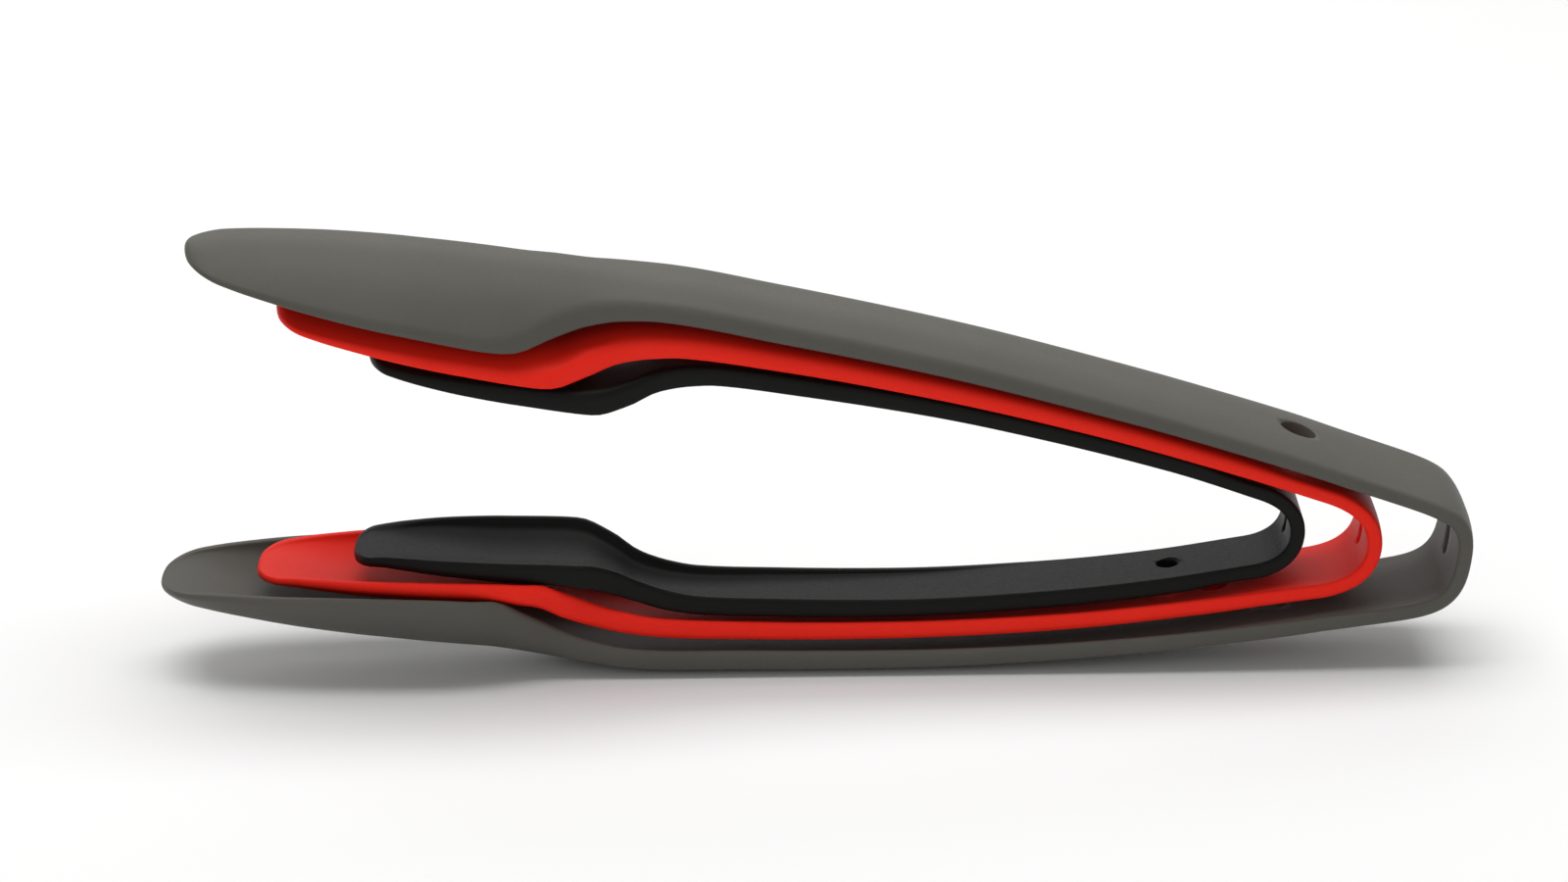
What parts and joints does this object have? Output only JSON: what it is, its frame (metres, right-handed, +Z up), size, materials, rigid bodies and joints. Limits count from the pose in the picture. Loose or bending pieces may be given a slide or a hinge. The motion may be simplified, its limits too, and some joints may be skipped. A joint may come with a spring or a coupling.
{
  "type": "nested kitchen tongs",
  "caption": "Nested kitchen tongs in graded sizes, each a sprung U-bend strip in matt silicone over a steel core, with spoon-shaped tips and channel arms.",
  "frame": {"origin": "bottom centre of the bounding box, on the surface the set lies on", "axes": "+X from the tips to the bends, along the length; +Y across the width; +Z up, the way the tongs open"},
  "size_m": [0.3028, 0.043, 0.1025],
  "materials": {
    "grey_silicone": "matt soft-touch",
    "red_silicone": "matt soft-touch",
    "black_silicone": "matt soft-touch",
    "spring_steel": "rolled"
  },
  "bodies": {
    "grey_lower": {"grey_lower_skin": "grey_silicone", "grey_lower_core": "spring_steel", "grey_bend_skin": "grey_silicone", "grey_bend_core": "spring_steel"},
    "grey_upper": {"grey_upper_skin": "grey_silicone", "grey_upper_core": "spring_steel"},
    "red_lower": {"red_lower_skin": "red_silicone", "red_lower_core": "spring_steel", "red_bend_skin": "red_silicone", "red_bend_core": "spring_steel"},
    "red_upper": {"red_upper_skin": "red_silicone", "red_upper_core": "spring_steel"},
    "black_lower": {"black_lower_skin": "black_silicone", "black_lower_core": "spring_steel", "black_bend_skin": "black_silicone", "black_bend_core": "spring_steel"},
    "black_upper": {"black_upper_skin": "black_silicone", "black_upper_core": "spring_steel"}
  },
  "joints": [
    {"name": "grey_squeeze", "type": "hinge", "parent": "grey_lower", "child": "grey_upper", "pos_m": [0.1103, 0, 0.02966], "axis": [0, -1, 0], "range_deg": [0, 12], "stiffness_Nm_per_rad": 2.6, "springref_deg": -2.86, "deforming": ["grey_bend_skin", "grey_bend_core"]},
    {"name": "red_squeeze", "type": "hinge", "parent": "red_lower", "child": "red_upper", "pos_m": [0.10543, 0, 0.03093], "axis": [0, -1, 0], "range_deg": [0, 12], "stiffness_Nm_per_rad": 2.2, "springref_deg": -2.86, "deforming": ["red_bend_skin", "red_bend_core"]},
    {"name": "black_squeeze", "type": "hinge", "parent": "black_lower", "child": "black_upper", "pos_m": [0.10251, 0, 0.03188], "axis": [0, -1, 0], "range_deg": [0, 12], "stiffness_Nm_per_rad": 1.8, "springref_deg": -2.86, "deforming": ["black_bend_skin", "black_bend_core"]},
    {"name": "red_take_out", "type": "slide", "parent": "grey_lower", "child": "red_lower", "axis": [-0.9937, 0, 0.112], "range_m": [0, 0.29]},
    {"name": "black_take_out", "type": "slide", "parent": "red_lower", "child": "black_lower", "axis": [-0.9937, 0, 0.112], "range_m": [0, 0.25]}
  ],
  "couplings": [
    {"joint": "red_squeeze", "follows": "grey_squeeze", "ratio": 1},
    {"joint": "black_squeeze", "follows": "grey_squeeze", "ratio": 1}
  ]
}
